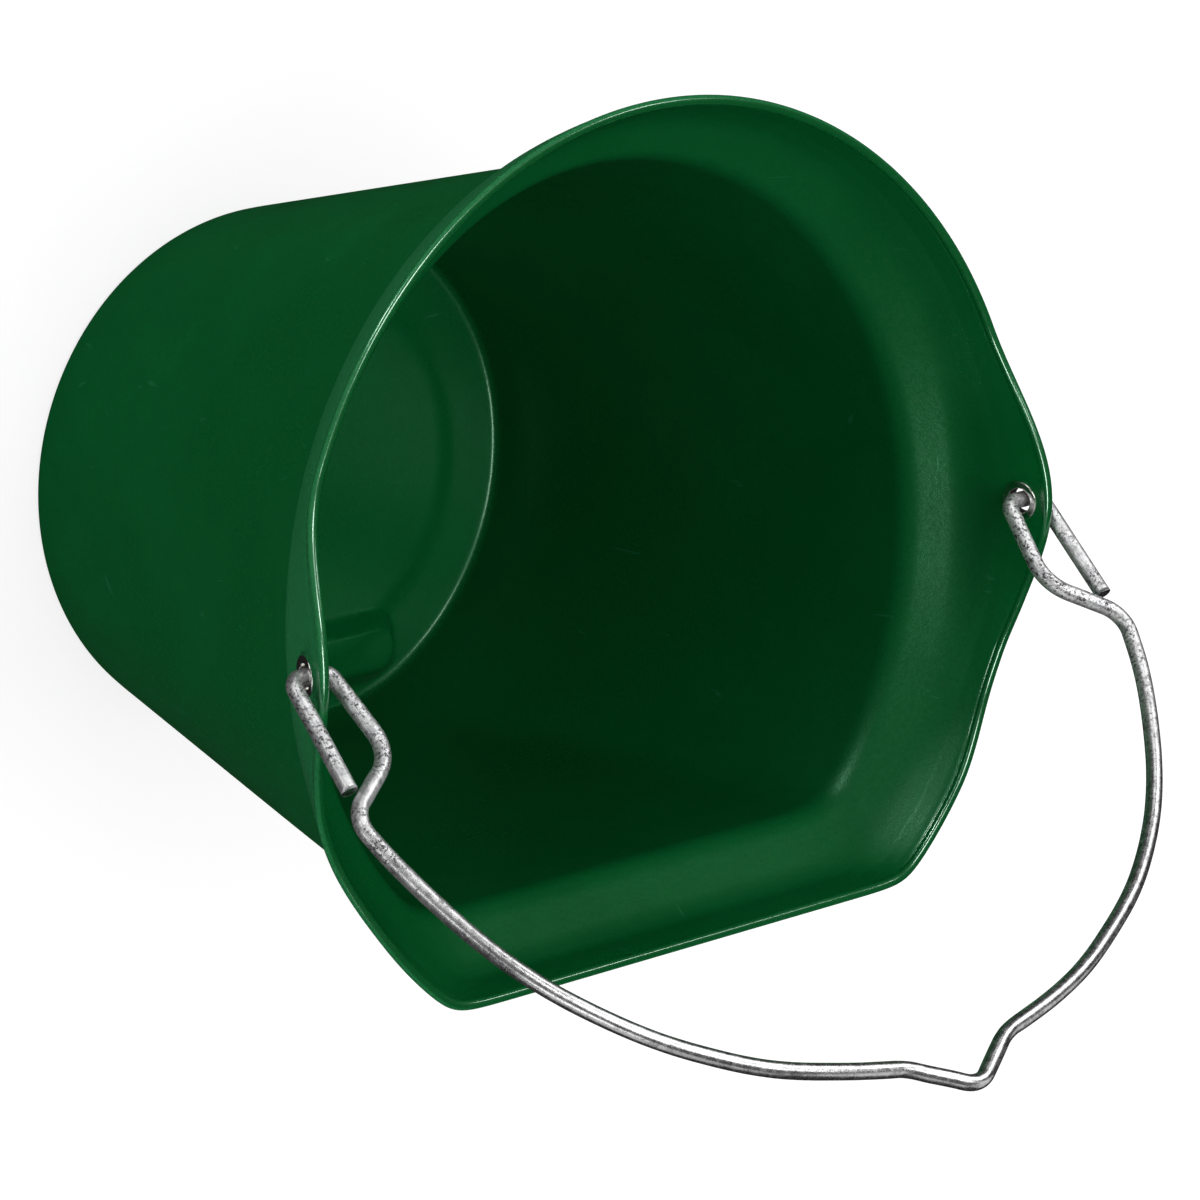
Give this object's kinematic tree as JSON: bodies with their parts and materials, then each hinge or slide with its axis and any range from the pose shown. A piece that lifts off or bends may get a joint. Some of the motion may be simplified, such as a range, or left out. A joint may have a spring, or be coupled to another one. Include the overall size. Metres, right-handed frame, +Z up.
{
  "type": "feed bucket",
  "caption": "Flat sided hanging feed bucket: tapered moulded shell with a shouldered collar, raised ears with metal eyelets and a swinging wire bail with a centre hanging notch.",
  "frame": {"origin": "centre of the round base, on the resting plane", "axes": "+Z up towards the mouth, +Y towards the flat hanging side, X along the handle's pivot line; eyelet_left is on +X"},
  "size_m": [0.3436, 0.3166, 0.4189],
  "materials": {
    "shell_plastic": "satin moulded plastic, fine grain",
    "eyelet_metal": "bright nickel plate",
    "handle_wire": "galvanised wire, mottled"
  },
  "bodies": {
    "bucket": {"bucket_shell": "shell_plastic", "eyelet_left": "eyelet_metal", "eyelet_right": "eyelet_metal"},
    "bail": {"bail_handle": "handle_wire"}
  },
  "joints": [
    {"name": "bail_hinge", "type": "hinge", "parent": "bucket", "child": "bail", "pos_m": [0, -0.0065, 0.263], "axis": [1, 0, 0], "range_deg": [-42, 125]}
  ]
}
